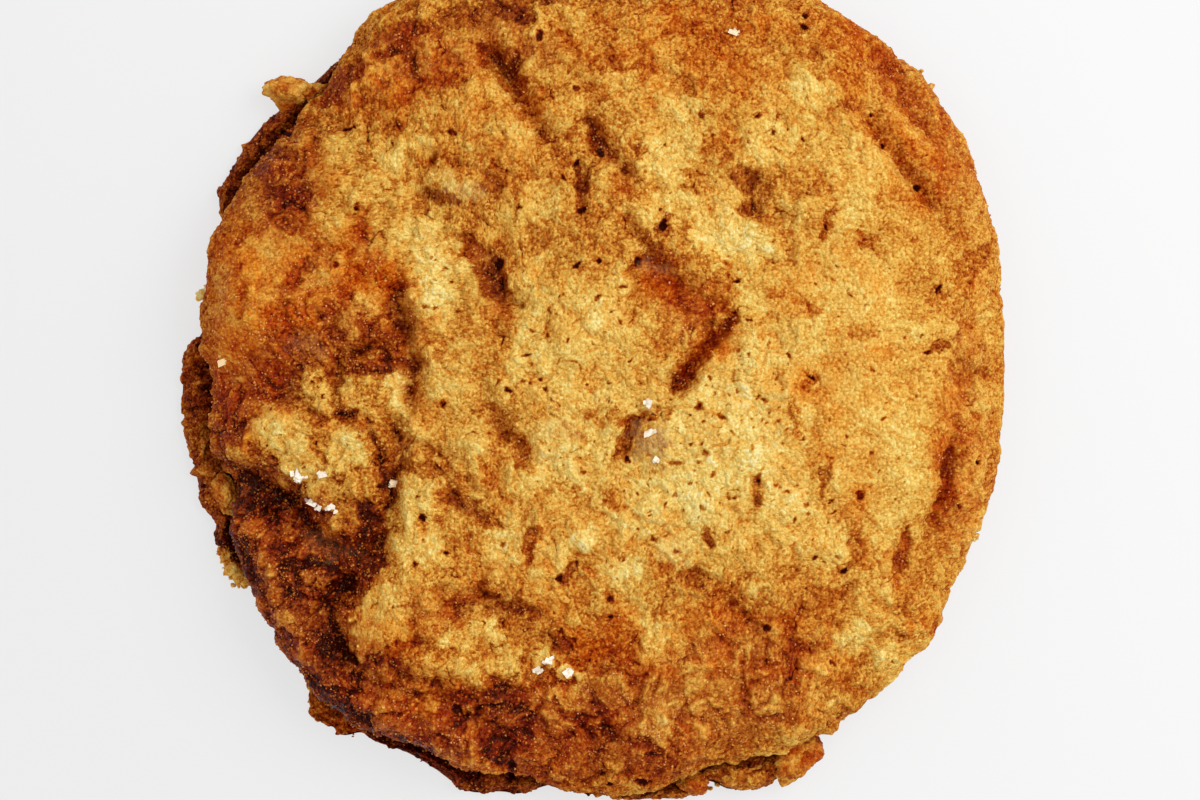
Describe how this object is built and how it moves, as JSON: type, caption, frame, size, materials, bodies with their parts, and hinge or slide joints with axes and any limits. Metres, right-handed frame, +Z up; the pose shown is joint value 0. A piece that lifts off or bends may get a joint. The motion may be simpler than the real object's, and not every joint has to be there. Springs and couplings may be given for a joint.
{
  "type": "salted caramel cookie",
  "caption": "Round hand-dropped caramel cookie with a domed, wrinkled crust, a rolled rim, a thin foot spread out at one side and flakes of sea salt.",
  "frame": {"origin": "middle of the cookie's box in plan, on the flat underside that it rests on", "axes": "+Z up out of the crust, +X to the right and +Y to the back as seen in the picture taken from straight above"},
  "size_m": [0.083, 0.0858, 0.014],
  "materials": {
    "baked_crust": "baked golden-brown crumb, satin where caramel soaked in",
    "salt": "clear white crystal"
  },
  "bodies": {
    "root": {"cookie": "baked_crust"}
  },
  "joints": []
}
